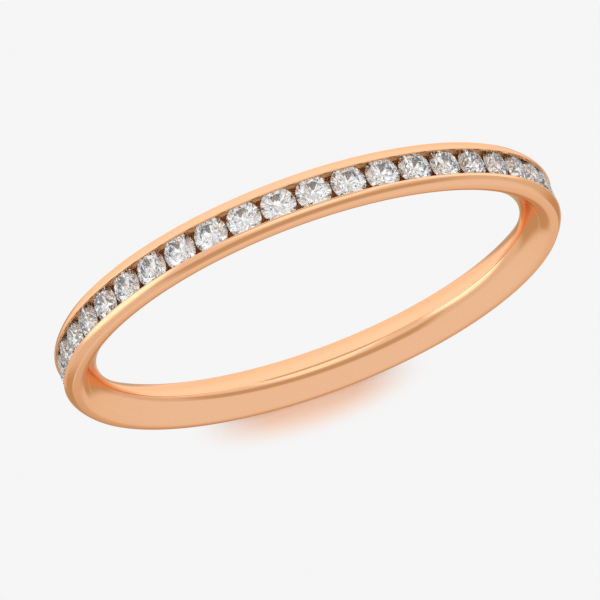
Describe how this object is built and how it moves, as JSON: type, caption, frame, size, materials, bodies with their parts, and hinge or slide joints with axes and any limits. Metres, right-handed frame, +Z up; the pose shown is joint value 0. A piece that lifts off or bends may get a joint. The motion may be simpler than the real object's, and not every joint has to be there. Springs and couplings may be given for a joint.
{
  "type": "wedding band",
  "caption": "Slim rose gold eternity band with round brilliants in a channel all the way round, rounded rails and a comfort-fit bore.",
  "frame": {"origin": "centre of the finger bore, midway between the two sides of the band", "axes": "+Y along the bore axis; +Z up from the rim the band stands on, through the middle of the first stone"},
  "size_m": [0.0202, 0.0018, 0.0202],
  "materials": {
    "rose_gold": "polished",
    "stones": "cut and polished"
  },
  "bodies": {
    "root": {"band": "rose_gold", "stone_01": "stones", "stone_02": "stones", "stone_03": "stones", "stone_04": "stones", "stone_05": "stones", "stone_06": "stones", "stone_07": "stones", "stone_08": "stones", "stone_09": "stones", "stone_10": "stones", "stone_11": "stones", "stone_12": "stones", "stone_13": "stones", "stone_14": "stones", "stone_15": "stones", "stone_16": "stones", "stone_17": "stones", "stone_18": "stones", "stone_19": "stones", "stone_20": "stones", "stone_21": "stones", "stone_22": "stones", "stone_23": "stones", "stone_24": "stones", "stone_25": "stones", "stone_26": "stones", "stone_27": "stones", "stone_28": "stones", "stone_29": "stones", "stone_30": "stones", "stone_31": "stones", "stone_32": "stones", "stone_33": "stones", "stone_34": "stones", "stone_35": "stones", "stone_36": "stones", "stone_37": "stones", "stone_38": "stones", "stone_39": "stones", "stone_40": "stones", "stone_41": "stones", "stone_42": "stones", "stone_43": "stones", "stone_44": "stones", "stone_45": "stones"}
  },
  "joints": []
}
